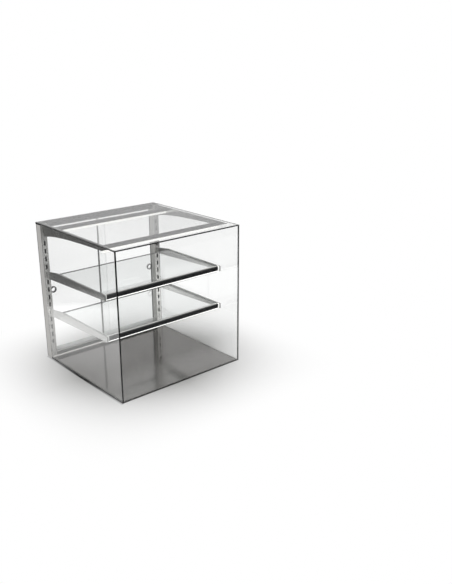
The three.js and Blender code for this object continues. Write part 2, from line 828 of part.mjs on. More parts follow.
// Rocker switch: the rocker turns about an upright pin in a round trough of the body
function addSwitch() {
  const face = sillRear + seatGap + flangeThickness;
  const pivotY = face - rockerPivotDepth;
  const troughRadius = rockerRadius + rockerClearance;
  const troughSpan = around(sillMiddle, rockerHeight + rockerClearance * 2);
  const pinHeight = rockerHeight + rockerPinReach * 2;
  const trough = join(
    pinAlongZ(troughRadius, switchPlace, pivotY, ...troughSpan, roundSegments),
    slab(around(switchPlace, troughRadius * 2), [pivotY, face + cutOverrun], troughSpan),
  );
  const bearing = pinAlongZ(rockerPinRadius + rockerPinClearance, switchPlace, pivotY,
    ...around(sillMiddle, pinHeight + rockerPinClearance * 2));
  const body = fittingBody(switchPlace, switchFlangeWidth, switchFlangeHeight,
    switchBodyWidth, switchBodyHeight, switchBodyDepth);
  addPiece('switch_body', cut(body, trough, bearing), blackPlastic);

  const hornAngle = Math.asin(rockerHornRise / rockerRadius);
  const shape = new THREE.Shape();
  shape.moveTo(0, rockerValleyRise);
  shape.absarc(0, 0, rockerRadius, Math.PI - hornAngle, Math.PI * 2 + hornAngle, false);
  shape.closePath();
  const rocker = alongZ(shape, -rockerHeight / 2, rockerHeight / 2, roundSegments);
  const pin = pinAlongZ(rockerPinRadius, 0, 0, -pinHeight / 2, pinHeight / 2);
  const tilted = join(rocker, pin).rotate([0, 0, rockerTilt]);
  addPiece('switch_rocker', tilted.translate([switchPlace, pivotY, sillMiddle]), blackPlastic);
}

// Power inlet: a flanged body with an open recess for the lead's socket
function addInlet() {
  const face = sillRear + seatGap + flangeThickness;
  const body = fittingBody(inletPlace, inletFlangeWidth, inletFlangeHeight,
    inletBodyWidth, inletBodyHeight, inletBodyDepth);
  const recess = slab(around(inletPlace, inletRecessWidth), [face - inletRecessDepth, face + cutOverrun],
    around(sillMiddle, inletRecessHeight));
  addPiece('power_inlet', cut(body, recess), blackPlastic);
}

addFeet();
addTray();
addGlass();
addPosts();
addSill();
addHeader();
addTracks();
addArms();
addLightBar('light_bar_front', front + frontBarSetback);
addLightBar('light_bar_rear', postFront - rearBarPostGap - barDepth);
addShelf('shelf_upper', upperShelfSlotCount);
addShelf('shelf_middle', middleShelfSlotCount);
addDoor('left', -1, rearDoorLine, clearStile);
addDoor('right', 1, frontDoorLine, greyStile);
addDriver();
addSwitch();
addInlet();

export default displayCase;
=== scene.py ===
"""Looks of a counter-top glass display case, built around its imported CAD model.

Metres, +Z up, the front glass faces -Y. The camera stands at the front left.
"""

import json
from math import radians

import bmesh
import bpy
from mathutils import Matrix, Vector


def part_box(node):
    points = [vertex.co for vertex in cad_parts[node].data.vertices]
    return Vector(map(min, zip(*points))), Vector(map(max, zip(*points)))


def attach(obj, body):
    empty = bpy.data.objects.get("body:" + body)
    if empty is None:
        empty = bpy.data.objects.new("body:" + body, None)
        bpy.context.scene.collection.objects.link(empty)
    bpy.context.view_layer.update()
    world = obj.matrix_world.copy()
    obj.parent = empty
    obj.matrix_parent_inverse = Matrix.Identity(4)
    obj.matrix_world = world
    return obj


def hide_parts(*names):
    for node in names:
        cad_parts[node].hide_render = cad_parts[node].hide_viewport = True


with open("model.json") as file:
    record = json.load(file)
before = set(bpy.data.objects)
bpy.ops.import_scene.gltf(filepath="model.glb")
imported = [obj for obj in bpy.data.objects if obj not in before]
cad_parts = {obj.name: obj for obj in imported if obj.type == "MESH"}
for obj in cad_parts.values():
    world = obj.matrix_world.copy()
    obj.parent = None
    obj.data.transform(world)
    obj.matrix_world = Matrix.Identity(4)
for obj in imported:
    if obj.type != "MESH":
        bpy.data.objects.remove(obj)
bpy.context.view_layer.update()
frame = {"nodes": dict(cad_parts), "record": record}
scene = bpy.context.scene
record = frame["record"]
slot_of = {entry["node"]: entry["material_slot"] for entry in record["subparts"]}
body_of = {
    node: body
    for body, members in record["behaviour"]["bodies"].items()
    for node in members
}

# Camera, solved from the straight edges of the case
CAMERA_PLACE = (-1.55395, -2.2989, 1.26373)
CAMERA_LOOK = (0.6271, 0.7058, -0.3296)
FOCAL_LENGTH = 54.97
SENSOR_WIDTH = 36.0
CLIP_START = 0.05
CLIP_END = 60.0

# Light
LAMP_COLOR = (1.0, 0.99, 0.975)
AMBIENT = 0.86
KEY_PLACE = (-2.2, -1.4, 2.6)
KEY_TARGET = (0.0, 0.0, 0.3)
KEY_SIZE = (1.6, 1.6)
KEY_POWER = 18.0

# Floor: half the case's footprint, how far its painted shadow reaches past that, and the
# strip of painted contact shadow where its left side meets the floor
FLOOR_TONE = (0.5, 0.5, 0.5, 1)
FLOOR_REACH = 9.0
HALF_WIDTH = 0.298
HALF_DEPTH = 0.2955
SHADE_REACH = 0.38
SHADE_GAIN = 2.145
# Reach and tone of the painted contact shadow
CONTACT_REACH = 0.009
CONTACT_SHADOW_TONE = (0.03, 0.03, 0.03, 1.0)
SEEN_THROUGH = 0.12

# What metal mirrors: a white pool round the case, and a dim room past it, in front of it
# and less so at the left
POOL_EDGE = 0.98
POOL_END = 1.13
FRONT_DIM = -0.55
FRONT_POOL = -0.35
LEFT_BRIGHT = -0.5
LEFT_POOL = -0.36
ROOM_DARK = (0.06, 0.06, 0.062, 1)
ROOM_LEFT = (0.14, 0.14, 0.14, 1)
WALL_SIDE = (-0.9, 0.1, 0.2)
WALL_DIM = 0.68
WALL_BRIGHT = 0.85


# Small helpers for node trees
def add_node(tree, kind, inputs=None, **settings):
    made = tree.nodes.new(kind)
    for key, value in settings.items():
        setattr(made, key, value)
    for key, value in (inputs or {}).items():
        join(tree, value, made.inputs[key])
    return made


def join(tree, value, socket):
    if isinstance(value, bpy.types.NodeSocket):
        tree.links.new(value, socket)
    else:
        socket.default_value = value


def math_node(tree, operation, *values, clamp=False):
    made = add_node(tree, "ShaderNodeMath", operation=operation, use_clamp=clamp)
    for index, value in enumerate(values):
        join(tree, value, made.inputs[index])
    return made.outputs[0]


def vector_node(tree, operation, *values, output="Vector"):
    made = add_node(tree, "ShaderNodeVectorMath", operation=operation)
    for index, value in enumerate(values):
        join(tree, value, made.inputs[index])
    return made.outputs[output]


def blend_colors(tree, amount, first, second):
    made = add_node(tree, "ShaderNodeMix", data_type="RGBA")
    join(tree, amount, made.inputs[0])
    join(tree, first, made.inputs[6])
    join(tree, second, made.inputs[7])
    return made.outputs[2]


def blend_values(tree, amount, first, second):
    made = add_node(tree, "ShaderNodeMix", data_type="FLOAT")
    join(tree, amount, made.inputs[0])
    join(tree, first, made.inputs[2])
    join(tree, second, made.inputs[3])
    return made.outputs[0]


def ramp_between(tree, value, low, high, low_result=0.0, high_result=1.0):
    made = add_node(tree, "ShaderNodeMapRange", interpolation_type="SMOOTHSTEP")
    for index, number in enumerate((value, low, high, low_result, high_result)):
        join(tree, number, made.inputs[index])
    return made.outputs[0]


def shader_group(name, inputs, outputs):
    """An empty group with its sockets, and its input and output nodes."""
    group = bpy.data.node_groups.new(name, "ShaderNodeTree")
    for socket_name, kind, default in inputs:
        socket = group.interface.new_socket(socket_name, in_out="INPUT", socket_type=kind)
        if default is not None:
            socket.default_value = default
    for socket_name, kind in outputs:
        group.interface.new_socket(socket_name, in_out="OUTPUT", socket_type=kind)
    return group, group.nodes.new("NodeGroupInput"), group.nodes.new("NodeGroupOutput")


def place_group(tree, group, inputs):
    made = tree.nodes.new("ShaderNodeGroup")
    made.node_tree = group
    for key, value in inputs.items():
        join(tree, value, made.inputs[key])
    return made


# Effects that several materials share
def build_grain_group():
    """Fine drawn lines of ground or brushed metal. Scale is small along the lines."""
    group, start, end = shader_group(
        "drawn_grain",
        [
            ("Vector", "NodeSocketVector", None),
            ("Scale", "NodeSocketVector", (20.0, 1500.0, 1500.0)),
        ],
        [("Lines", "NodeSocketFloat")],
    )
    stretched = vector_node(group, "MULTIPLY", start.outputs["Vector"], start.outputs["Scale"])
    noise = add_node(
        group, "ShaderNodeTexNoise", {"Vector": stretched, "Scale": 1.0, "Detail": 3.0}
    )
    join(group, ramp_between(group, noise.outputs["Fac"], 0.3, 0.7), end.inputs["Lines"])
    return group


def build_handling_group():
    """Broad soft patches, such as haze left by wiping and by hands."""
    group, start, end = shader_group(
        "handling_haze",
        [
            ("Vector", "NodeSocketVector", None),
            ("Size", "NodeSocketFloat", 9.0),
            ("Seed", "NodeSocketFloat", 0.0),
        ],
        [("Haze", "NodeSocketFloat"), ("Specks", "NodeSocketFloat")],
    )
    moved = vector_node(group, "ADD", start.outputs["Vector"], start.outputs["Seed"])
    broad = add_node(
        group,
        "ShaderNodeTexNoise",
        {"Vector": moved, "Scale": start.outputs["Size"], "Detail": 2.0, "Roughness": 0.45},
    )
    fine = add_node(group, "ShaderNodeTexNoise", {"Vector": moved, "Scale": 900.0, "Detail": 1.0})
    join(group, ramp_between(group, broad.outputs["Fac"], 0.3, 0.7), end.inputs["Haze"])
    join(group, ramp_between(group, fine.outputs["Fac"], 0.55, 0.75), end.inputs["Specks"])
    return group


def build_facing_group():
    """1 where a face looks along an axis of the object, 0 where it lies beside it."""
    group, start, end = shader_group(
        "facing_axis",
        [
            ("Normal", "NodeSocketVector", None),
            ("Axis", "NodeSocketVector", (1.0, 0.0, 0.0)),
            ("Turned", "NodeSocketFloat", 0.45),
        ],
        [("Along", "NodeSocketFloat"), ("Toward", "NodeSocketFloat")],
    )
    toward = vector_node(
        group, "DOT_PRODUCT", start.outputs["Normal"], start.outputs["Axis"], output="Value"
    )
    along = math_node(group, "ABSOLUTE", toward)
    full = math_node(group, "ADD", start.outputs["Turned"], 0.15)
    join(group, ramp_between(group, along, start.outputs["Turned"], full), end.inputs["Along"])
    join(group, ramp_between(group, toward, start.outputs["Turned"], full), end.inputs["Toward"])
    return group


def build_moulded_group():
    """Fine spark-eroded texture of moulded plastic and rubber."""
    group, start, end = shader_group(
        "moulded_texture",
        [("Vector", "NodeSocketVector", None), ("Size", "NodeSocketFloat", 1400.0)],
        [("Height", "NodeSocketFloat"), ("Tone", "NodeSocketFloat")],
    )
    cells = add_node(
        group,
        "ShaderNodeTexVoronoi",
        {"Vector": start.outputs["Vector"], "Scale": start.outputs["Size"]},
    )
    cloudy = add_node(
        group,
        "ShaderNodeTexNoise",
        {"Vector": start.outputs["Vector"], "Scale": 35.0, "Detail": 3.0},
    )
    join(group, cells.outputs["Distance"], end.inputs["Height"])
    join(group, ramp_between(group, cloudy.outputs["Fac"], 0.3, 0.7), end.inputs["Tone"])
    return group


GRAIN = build_grain_group()
HANDLING = build_handling_group()
FACING = build_facing_group()
MOULDED = build_moulded_group()


def new_material(name):
    """A material with an output and its coordinates, and nothing between them yet."""
    material = bpy.data.materials.new(name)
    material.use_nodes = True
    tree = material.node_tree
    tree.nodes.clear()
    output = tree.nodes.new("ShaderNodeOutputMaterial")
    place = tree.nodes.new("ShaderNodeTexCoord")
    return material, tree, output, place


def relief(tree, strength, distance, height):
    """A normal from a bump that is distance deep."""
    bump = add_node(
        tree, "ShaderNodeBump", {"Strength": strength, "Distance": distance, "Height": height}
    )
    return bump.outputs["Normal"]


def principled(tree, output, inputs):
    """The material's own shader, joined to its output."""
    shader = add_node(tree, "ShaderNodeBsdfPrincipled", inputs)
    join(tree, shader.outputs[0], output.inputs["Surface"])


def tone(color, factor=1.0):
    return (color[0] * factor, color[1] * factor, color[2] * factor, 1.0)


# Where the posts fold and are hollow, along X from the middle and along Y; painted shade
# darkens the sides past the fold and fills the hollow
POST_FOLD = 0.2878
POST_FOLD_SOFT = 0.0006
POST_SHADE_TONE = 0.12
POST_HOLLOW_X = (0.2695, 0.2965)
POST_HOLLOW_Y = (0.2572, 0.2937)
SLOT_SPAN_X = (0.2765, 0.2855)

# Which way drawn lines run, and which way a face looks
ALONG_X = (12.0, 1700.0, 1700.0)
ALONG_Y = (1700.0, 12.0, 1700.0)
ALONG_Z = (1700.0, 1700.0, 12.0)
SIDEWAYS = (1.0, 0.0, 0.0)
BACKWARD = (0.0, 1.0, 0.0)
UPWARD = (0.0, 0.0, 1.0)

# Depths of the fine relief, the pitch of the lamps behind the opal covers, and colours
GRAIN_DEPTH = 0.00006
MOULD_DEPTH = 0.0001
LAMP_PITCH = 0.0166
FULL_TURN = 6.2832
OPAL = (0.92, 0.92, 0.9)
# Painted shade inside the hollow posts
HOLLOW_SHADE_TONE = (0.035, 0.034, 0.033)
CLEAR = (0.996, 0.999, 0.997)
# Painted shade on the pane edges that face front, left and down
EDGE_SHADE = (0.004, 0.005, 0.005)
EDGE_CLEAR = (0.93, 0.95, 0.945)


# Finishes
def steel_finish(
    name, color, roughness, lines, depth, haze=0.06, size=9.0, grazing=1.0, metal=1.0, front=None
):
    """Sheet metal: drawn lines and wiping haze. Grazing is how strongly it shines when it
    is seen along its face, and front the tone of the faces that look to the front: painted
    shade where it is below 1, a painted highlight where it is above 1."""
    material, tree, output, place = new_material(name)
    spot = place.outputs["Object"]
    grain = place_group(tree, GRAIN, {"Vector": spot, "Scale": lines})
    handling = place_group(tree, HANDLING, {"Vector": spot, "Size": size, "Seed": 3.7})
    dark = tone(color, 0.93)
    base = blend_colors(tree, grain.outputs["Lines"], dark, tone(color, 1.05))
    base = blend_colors(
        tree, math_node(tree, "MULTIPLY", handling.outputs["Haze"], 0.35), base, tone(color, 0.97)
    )
    # Painted light: faces that look to the front are toned by front
    if front is not None:
        facing = place_group(tree, FACING, {"Normal": place.outputs["Normal"], "Axis": BACKWARD})
        ahead = math_node(
            tree, "SUBTRACT", facing.outputs["Along"], facing.outputs["Toward"], clamp=True
        )
        base = blend_colors(tree, ahead, base, tone(color, front))
    rough = math_node(tree, "MULTIPLY_ADD", handling.outputs["Haze"], haze, roughness)
    rough = math_node(tree, "MULTIPLY_ADD", grain.outputs["Lines"], haze * 0.5, rough)
    inputs = {
        "Base Color": base,
        "Roughness": rough,
        "Metallic": metal,
        "Specular Tint": (grazing, grazing, grazing, 1.0),
        "Normal": relief(tree, depth, GRAIN_DEPTH, grain.outputs["Lines"]),
    }
    principled(tree, output, inputs)
    return material


def glass_finish(
    name, tint, edge_tint, axis, seed=0.0, far_tint=None, ior=1.5, edge_alpha=None
):
    """Float glass: clear faces with a trace of haze, and polished edges. edge_tint is for
    the edges at the front, left and bottom, and far_tint for the others; where far_tint is
    paler, the darker edge_tint is painted shade. edge_alpha is how much of the edges is seen."""
    material, tree, output, place = new_material(name)
    facing = place_group(
        tree, FACING, {"Normal": place.outputs["Normal"], "Axis": axis, "Turned": 0.8}
    )
    outward = vector_node(
        tree, "DOT_PRODUCT", place.outputs["Normal"], (0.9, 1.0, 1.1), output="Value"
    )
    edge = blend_colors(
        tree,
        ramp_between(tree, outward, -0.1, 0.1),
        tone(edge_tint),
        tone(far_tint or edge_tint),
    )
    handling = place_group(
        tree, HANDLING, {"Vector": place.outputs["Object"], "Size": 6.0, "Seed": seed}
    )
    face = blend_colors(tree, handling.outputs["Haze"], tone(tint), tone(tint, 0.995))
    color = blend_colors(tree, facing.outputs["Along"], edge, face)
    rough = blend_values(
        tree,
        facing.outputs["Along"],
        0.03,
        math_node(tree, "MULTIPLY", handling.outputs["Specks"], 0.012),
    )
    shader = add_node(
        tree,
        "ShaderNodeBsdfPrincipled",
        {"Base Color": color, "Roughness": rough, "IOR": ior, "Transmission Weight": 1.0},
    )
    if edge_alpha is not None:
        alpha = blend_values(tree, facing.outputs["Along"], edge_alpha, 1.0)
        join(tree, alpha, shader.inputs["Alpha"])
    passing = add_node(tree, "ShaderNodeBsdfTransparent", {"Color": tone(tint, 0.97)})
    path = tree.nodes.new("ShaderNodeLightPath")
    mixed = add_node(tree, "ShaderNodeMixShader")
    unseen = math_node(
        tree, "MAXIMUM", path.outputs["Is Shadow Ray"], path.outputs["Is Diffuse Ray"]
    )
    join(tree, unseen, mixed.inputs[0])
    join(tree, shader.outputs[0], mixed.inputs[1])
    join(tree, passing.outputs[0], mixed.inputs[2])
    join(tree, mixed.outputs[0], output.inputs["Surface"])
    return material


def plastic_finish(name, color, roughness, texture=1400.0, depth=0.15):
    """Moulded plastic or rubber. Texture is how fine its eroded cells are."""
    material, tree, output, place = new_material(name)
    spot = place.outputs["Object"]
    moulded = place_group(tree, MOULDED, {"Vector": spot, "Size": texture})
    handling = place_group(tree, HANDLING, {"Vector": spot, "Size": 14.0, "Seed": 1.3})
    base = blend_colors(tree, moulded.outputs["Tone"], tone(color, 0.9), tone(color, 1.08))
    rough = math_node(tree, "MULTIPLY_ADD", handling.outputs["Haze"], 0.07, roughness)
    normal = relief(tree, depth, MOULD_DEPTH, moulded.outputs["Height"])
    principled(tree, output, {"Base Color": base, "Roughness": rough, "Normal": normal})
    return material


def bead_finish(name, outer, inner):
    """Sealant bead: black where it lies on the panes, pale on its inner side."""
    material, tree, output, place = new_material(name)
    flat = vector_node(tree, "MULTIPLY", place.outputs["Object"], (1.0, 1.0, 0.0))
    outward = vector_node(tree, "DOT_PRODUCT", place.outputs["Normal"], flat, output="Value")
    moulded = place_group(tree, MOULDED, {"Vector": place.outputs["Object"], "Size": 900.0})
    base = blend_colors(
        tree, ramp_between(tree, outward, -0.12, -0.06), tone(inner), tone(outer)
    )
    base = blend_colors(
        tree, math_node(tree, "MULTIPLY", moulded.outputs["Tone"], 0.15), base, tone(outer)
    )
    principled(tree, output, {"Base Color": base, "Roughness": 0.45})
    return material


def rail_finish(name, black, crown_sheen, ledge_highlight):
    """Black anodised rail, with a painted sheen that pales its rounded top and a painted
    highlight on the flat seat under the glass.
    """
    material, tree, output, place = new_material(name)
    spot = place.outputs["Object"]
    grain = place_group(tree, GRAIN, {"Vector": spot, "Scale": ALONG_X})
    handling = place_group(tree, HANDLING, {"Vector": spot, "Size": 14.0, "Seed": 1.3})
    up = add_node(tree, "ShaderNodeSeparateXYZ", {"Vector": place.outputs["Normal"]})
    rising = up.outputs["Z"]
    # Painted sheen: faces that look up turn paler; painted highlight: flat upward faces near white
    base = blend_colors(tree, ramp_between(tree, rising, 0.1, 0.75), tone(black), tone(crown_sheen))
    base = blend_colors(tree, ramp_between(tree, rising, 0.93, 0.99), base, tone(ledge_highlight))
    base = blend_colors(
        tree, math_node(tree, "MULTIPLY", grain.outputs["Lines"], 0.12), base, tone(crown_sheen, 0.5)
    )
    rough = math_node(tree, "MULTIPLY_ADD", handling.outputs["Haze"], 0.07, 0.26)
    inputs = {
        "Base Color": base,
        "Roughness": rough,
        "Specular IOR Level": 0.22,
        "Normal": relief(tree, 0.05, GRAIN_DEPTH, grain.outputs["Lines"]),
    }
    principled(tree, output, inputs)
    return material


def cap_finish(name, bright, shaded, glow):
    """End caps of the rails: white moulded plastic that glows a little, partly the lamps
    shining through and partly a painted highlight, with painted shade that greys the left end."""
    material, tree, output, place = new_material(name)
    spot = place.outputs["Object"]
    moulded = place_group(tree, MOULDED, {"Vector": spot, "Size": 1600.0})
    parts = add_node(tree, "ShaderNodeSeparateXYZ", {"Vector": spot})
    # Painted shade: the caps at the left end take the shaded tone
    side = ramp_between(tree, parts.outputs["X"], -0.01, 0.01)
    base = blend_colors(tree, side, tone(shaded), tone(bright))
    base = blend_colors(
        tree, math_node(tree, "MULTIPLY", moulded.outputs["Tone"], 0.1), base, tone(shaded, 0.8)
    )
    # The glow is partly the lamps shining through and partly a painted highlight
    inputs = {
        "Base Color": base,
        "Roughness": math_node(tree, "MULTIPLY_ADD", moulded.outputs["Tone"], 0.08, 0.22),
        "Emission Color": base,
        "Emission Strength": glow,
        "Normal": relief(tree, 0.03, MOULD_DEPTH, moulded.outputs["Height"]),
    }
    principled(tree, output, inputs)
    return material


def lit_finish(name, color, strength):
    """Opal diffuser lit from inside, a little brighter over each lamp."""
    material, tree, output, place = new_material(name)
    parts = add_node(tree, "ShaderNodeSeparateXYZ", {"Vector": place.outputs["Object"]})
    turn = math_node(tree, "MULTIPLY", parts.outputs["X"], FULL_TURN / LAMP_PITCH)
    wave = math_node(tree, "SINE", turn)
    spots = math_node(tree, "MULTIPLY_ADD", wave, 0.03, 0.97)
    glow = blend_colors(tree, spots, tone(color, 0.9), tone(color))
    inputs = {
        "Base Color": tone(OPAL),
        "Roughness": 0.4,
        "Emission Color": glow,
        "Emission Strength": strength,
    }
    principled(tree, output, inputs)
    return material


def band_mask(tree, value, low, high, soft=0.0004):
    """1 where value lies between low and high, with soft ends."""
    return math_node(
        tree,
        "MULTIPLY",
        ramp_between(tree, value, low - soft, low + soft),
        ramp_between(tree, value, high - soft, high + soft, 1.0, 0.0),
    )


def post_finish(name, side_color, face_color):
    """Slotted posts of folded stainless sheet: satin at the side, brighter at the front
    and back, with painted shade past the fold at the rear and in the hollow behind the slots."""
    material, tree, output, place = new_material(name)
    spot = place.outputs["Object"]
    parts = add_node(tree, "ShaderNodeSeparateXYZ", {"Vector": spot})
    sideways = math_node(tree, "ABSOLUTE", parts.outputs["X"])
    grain = place_group(tree, GRAIN, {"Vector": spot, "Scale": ALONG_Z})
    handling = place_group(tree, HANDLING, {"Vector": spot, "Size": 5.0, "Seed": 3.7})
    facing = place_group(tree, FACING, {"Normal": place.outputs["Normal"], "Axis": BACKWARD})
    side = blend_colors(
        tree, grain.outputs["Lines"], tone(side_color, 0.95), tone(side_color, 1.04)
    )
    # Painted shade: the side turns dark past the fold at the rear
    fold = ramp_between(
        tree, parts.outputs["Y"], POST_FOLD - POST_FOLD_SOFT, POST_FOLD + POST_FOLD_SOFT
    )
    side = blend_colors(tree, fold, side, tone(side_color, POST_SHADE_TONE))
    face = blend_colors(
        tree, grain.outputs["Lines"], tone(face_color, 0.96), tone(face_color, 1.03)
    )
    base = blend_colors(tree, facing.outputs["Along"], side, face)
    # Painted shade: the hollow behind the slots and the slot walls go near-black
    inside = math_node(
        tree,
        "MULTIPLY",
        band_mask(tree, sideways, *POST_HOLLOW_X),
        band_mask(tree, parts.outputs["Y"], *POST_HOLLOW_Y),
    )
    slot_wall = math_node(
        tree,
        "MULTIPLY",
        band_mask(tree, sideways, *SLOT_SPAN_X),
        math_node(
            tree,
            "MULTIPLY",
            ramp_between(tree, parts.outputs["Y"], POST_HOLLOW_Y[0], POST_HOLLOW_Y[1], 1.0, 0.0),
            math_node(tree, "SUBTRACT", 1.0, facing.outputs["Along"]),
        ),
    )
    painted_hollow_shade = math_node(tree, "MAXIMUM", inside, slot_wall)
    base = blend_colors(tree, painted_hollow_shade, base, tone(HOLLOW_SHADE_TONE))
    metal = blend_values(tree, facing.outputs["Along"], 0.08, 0.85)
    metal = math_node(tree, "MULTIPLY", metal, math_node(tree, "SUBTRACT", 1.0, painted_hollow_shade))
    rough = blend_values(tree, facing.outputs["Along"], 0.42, 0.2)
    rough = math_node(tree, "MULTIPLY_ADD", handling.outputs["Haze"], 0.06, rough)
    inputs = {
        "Base Color": base,
        "Roughness": rough,
        "Metallic": metal,
        "Normal": relief(tree, 0.1, GRAIN_DEPTH, grain.outputs["Lines"]),
    }
    principled(tree, output, inputs)
    return material


# Finishes by material slot, and glass by pane
finishes = {
    "polished_steel": post_finish("post_steel", (0.54, 0.535, 0.525), (0.98, 0.97, 0.95)),
    "pull_steel": steel_finish("pull_steel", (0.1, 0.1, 0.1), 0.3, ALONG_Z, 0.02),
    # Painted shade darkens the faces of the satin steel that look to the front
    "satin_steel": steel_finish(
        "satin_steel", (0.62, 0.62, 0.61), 0.3, ALONG_X, 0.12, front=0.45
    ),
    "header_steel": steel_finish(
        "header_steel", (0.04, 0.04, 0.04), 0.3, ALONG_X, 0.12, grazing=0.1
    ),
    "bar_aluminium": steel_finish(
        "bar_aluminium", (0.045, 0.045, 0.045), 0.32, ALONG_X, 0.08, grazing=0.3
    ),
    # Painted highlight brightens the faces of the tray that look to the front
    "tray_steel": steel_finish(
        "tray_steel", (0.27, 0.262, 0.254), 0.07, ALONG_X, 0.03, 0.04, 7.0, front=3.2
    ),
    "bracket_steel": steel_finish("bracket_steel", (0.58, 0.58, 0.57), 0.16, ALONG_Y, 0.05),
    "arm_steel": steel_finish("arm_steel", (0.46, 0.46, 0.45), 0.2, ALONG_Y, 0.06),
    "track_aluminium": steel_finish(
        "track_aluminium", (0.85, 0.85, 0.85), 0.36, ALONG_X, 0.08, metal=0.3
    ),
    "screw_steel": steel_finish("screw_steel", (0.7, 0.7, 0.68), 0.22, ALONG_Z, 0.03),
    # Painted sheen on the rails' tops and a painted highlight under the glass
    "black_rail": rail_finish(
        "black_rail", (0.007, 0.008, 0.009), (0.16, 0.16, 0.16), (0.8, 0.8, 0.79)
    ),
    # Painted shade greys the left caps; the glow is partly a painted highlight
    "cap_plastic": cap_finish("cap_plastic", OPAL, (0.4, 0.41, 0.4), 0.8),
    "seal": plastic_finish("seal_rubber", (0.016, 0.016, 0.015), 0.62, 900.0, 0.2),
    "foot_rubber": plastic_finish("foot_rubber", (0.014, 0.014, 0.014), 0.8, 900.0, 0.3),
    "shoe_plastic": plastic_finish("shoe_plastic", (0.82, 0.83, 0.82), 0.4),
    "stile_plastic": plastic_finish("stile_plastic", (0.3, 0.3, 0.3), 0.35),
    "clear_profile": glass_finish(
        "clear_profile", CLEAR, CLEAR, BACKWARD, 2.6, ior=1.1, edge_alpha=0.2
    ),
    "edge_profile": plastic_finish("edge_profile", (0.03, 0.03, 0.032), 0.35),
    "black_plastic": plastic_finish("black_plastic", (0.012, 0.012, 0.013), 0.42, 1800.0, 0.25),
    "rocker_plastic": plastic_finish("rocker_plastic", (0.014, 0.014, 0.015), 0.24, 1800.0, 0.08),
    "driver_shell": plastic_finish("driver_shell", (0.75, 0.75, 0.73), 0.45),
    "light_strip": plastic_finish("strip_board", (0.8, 0.79, 0.7), 0.45),
    "bar_diffuser": lit_finish("bar_diffuser", (1.0, 0.99, 0.96), 0.6),
    "rail_diffuser": lit_finish("rail_diffuser", (1.0, 0.995, 0.98), 1.3),
}

# Panes: painted shade on their edges at the front, left and bottom
glass_sides = glass_finish("side_glass", CLEAR, EDGE_SHADE, SIDEWAYS, 0.4, EDGE_CLEAR)
glass_front = glass_finish("front_glass", CLEAR, EDGE_SHADE, BACKWARD, 1.9, EDGE_CLEAR)
glass_roof = glass_finish("roof_glass", CLEAR, EDGE_SHADE, UPWARD, 3.1, EDGE_CLEAR)
glass_shelf = glass_finish(
    "shelf_glass", (0.975, 0.988, 0.984), (0.03, 0.05, 0.045), UPWARD, 5.2
)
glass_door = glass_finish(
    "door_glass", CLEAR, EDGE_CLEAR, BACKWARD, 7.7, ior=1.4, edge_alpha=0.2
)

finish_of = {
    "glass_left": glass_sides,
    "glass_right": glass_sides,
    "glass_front": glass_front,
    "glass_roof": glass_roof,
    "shelf_upper_glass": glass_shelf,
    "shelf_middle_glass": glass_shelf,
    "door_left_glass": glass_door,
    "door_right_glass": glass_door,
}


# Pieces: each solid of the frame with the small edge rounding that the real one has
SOFT_ANGLE = radians(32)


def softened(node, width):
    """Stands a copy of a CAD solid in its place, with its edges rounded by width."""
    mesh = frame["nodes"][node].data.copy()
    mesh.name = node
    mesh.materials.clear()
    mesh.materials.append(finish_of.get(node) or finishes[slot_of[node]])
    if "custom_normal" in mesh.attributes:
        mesh.attributes.remove(mesh.attributes["custom_normal"])
    work = bmesh.new()
    work.from_mesh(mesh)
    bmesh.ops.remove_doubles(work, verts=work.verts, dist=1e-6)
    bmesh.ops.dissolve_limit(
        work, angle_limit=radians(0.5), verts=work.verts, edges=work.edges
    )
    for face in work.faces:
        face.smooth = True
        face.material_index = 0
    work.to_mesh(mesh)
    work.free()
    piece = bpy.data.objects.new(f"{node}_finished", mesh)
    scene.collection.objects.link(piece)
    edge = piece.modifiers.new("edge rounding", "BEVEL")
    edge.width = width
    edge.segments = 2
    edge.limit_method = "ANGLE"
    edge.angle_limit = SOFT_ANGLE
    edge.use_clamp_overlap = True
    shading = piece.modifiers.new("flat faces", "WEIGHTED_NORMAL")
    shading.mode = "FACE_AREA"
    shading.weight = 50
    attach(piece, body_of[node])
    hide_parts(node)


# Edge rounding by material slot
EDGE_WIDTHS = {
    "polished_steel": 0.0004,
    "satin_steel": 0.0005,
    "header_steel": 0.0004,
    "bar_aluminium": 0.0004,
    "tray_steel": 0.0003,
    "bracket_steel": 0.0005,
    "arm_steel": 0.0005,
    "track_aluminium": 0.0003,
    "screw_steel": 0.0002,
    "pull_steel": 0.0003,
    "black_rail": 0.0005,
    "cap_plastic": 0.0006,
    "seal": 0.0003,
    "foot_rubber": 0.0005,
    "shoe_plastic": 0.0002,
    "stile_plastic": 0.0002,
    "clear_profile": 0.0003,
    "edge_profile": 0.0003,
    "black_plastic": 0.0004,
    "rocker_plastic": 0.0004,
    "driver_shell": 0.0008,
    "light_strip": 0.0001,
    "bar_diffuser": 0.0003,
    "rail_diffuser": 0.0002,
    "clear_glass": 0.0004,
    "shelf_glass": 0.0005,
    "door_glass": 0.0004,
}

for node_name in frame["nodes"]:
    softened(node_name, EDGE_WIDTHS[slot_of[node_name]])


# Sealant beads where the panes meet the tray and each other
STRIP_SHARP = radians(40)


